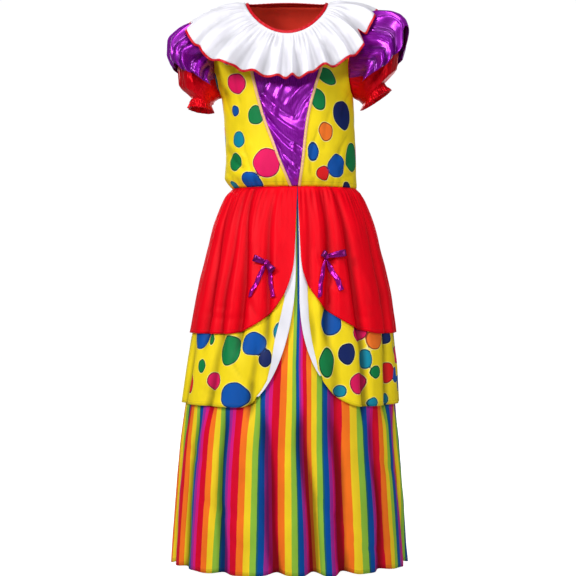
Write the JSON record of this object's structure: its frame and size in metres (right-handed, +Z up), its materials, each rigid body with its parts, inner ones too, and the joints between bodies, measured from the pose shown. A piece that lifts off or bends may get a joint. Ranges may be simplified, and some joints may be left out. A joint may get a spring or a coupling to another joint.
{
  "type": "clown costume dress",
  "caption": "Long clown dress filled out as worn: gathered ruff collar, flounced puff sleeves, pointed satin insert and layered cut-away skirts over a striped underskirt.",
  "frame": {"origin": "midway between the high points of the shoulders, where the wearer holds the dress up", "axes": "+Z up to the neck, -Y out of the front of the dress, +X towards the wearer's left side"},
  "size_m": [0.5464, 0.4028, 1.2517],
  "materials": {
    "yellow_satin": "satin",
    "purple_satin": "satin",
    "gold_piping": "satin",
    "red_satin": "satin",
    "white_satin": "satin",
    "rainbow_stripe": "satin"
  },
  "bodies": {
    "root": {"bodice_front_left": "yellow_satin", "bodice_front_right": "yellow_satin", "bodice_back": "yellow_satin", "tier_front_left": "yellow_satin", "tier_front_right": "yellow_satin", "tier_back": "yellow_satin", "front_insert": "purple_satin", "flounce_left": "purple_satin", "flounce_right": "purple_satin", "bow_left_knot": "purple_satin", "bow_left_loop_1": "purple_satin", "bow_left_loop_2": "purple_satin", "bow_left_tail_1": "purple_satin", "bow_left_tail_2": "purple_satin", "bow_right_knot": "purple_satin", "bow_right_loop_1": "purple_satin", "bow_right_loop_2": "purple_satin", "bow_right_tail_1": "purple_satin", "bow_right_tail_2": "purple_satin", "piping_left": "gold_piping", "piping_right": "gold_piping", "neck_facing": "red_satin", "neck_binding": "red_satin", "collar_edging": "red_satin", "puff_left": "red_satin", "puff_right": "red_satin", "overskirt_front_left": "red_satin", "overskirt_front_right": "red_satin", "overskirt_back": "red_satin", "collar": "white_satin", "tier_band_left": "white_satin", "tier_band_right": "white_satin", "skirt": "rainbow_stripe"}
  },
  "joints": []
}
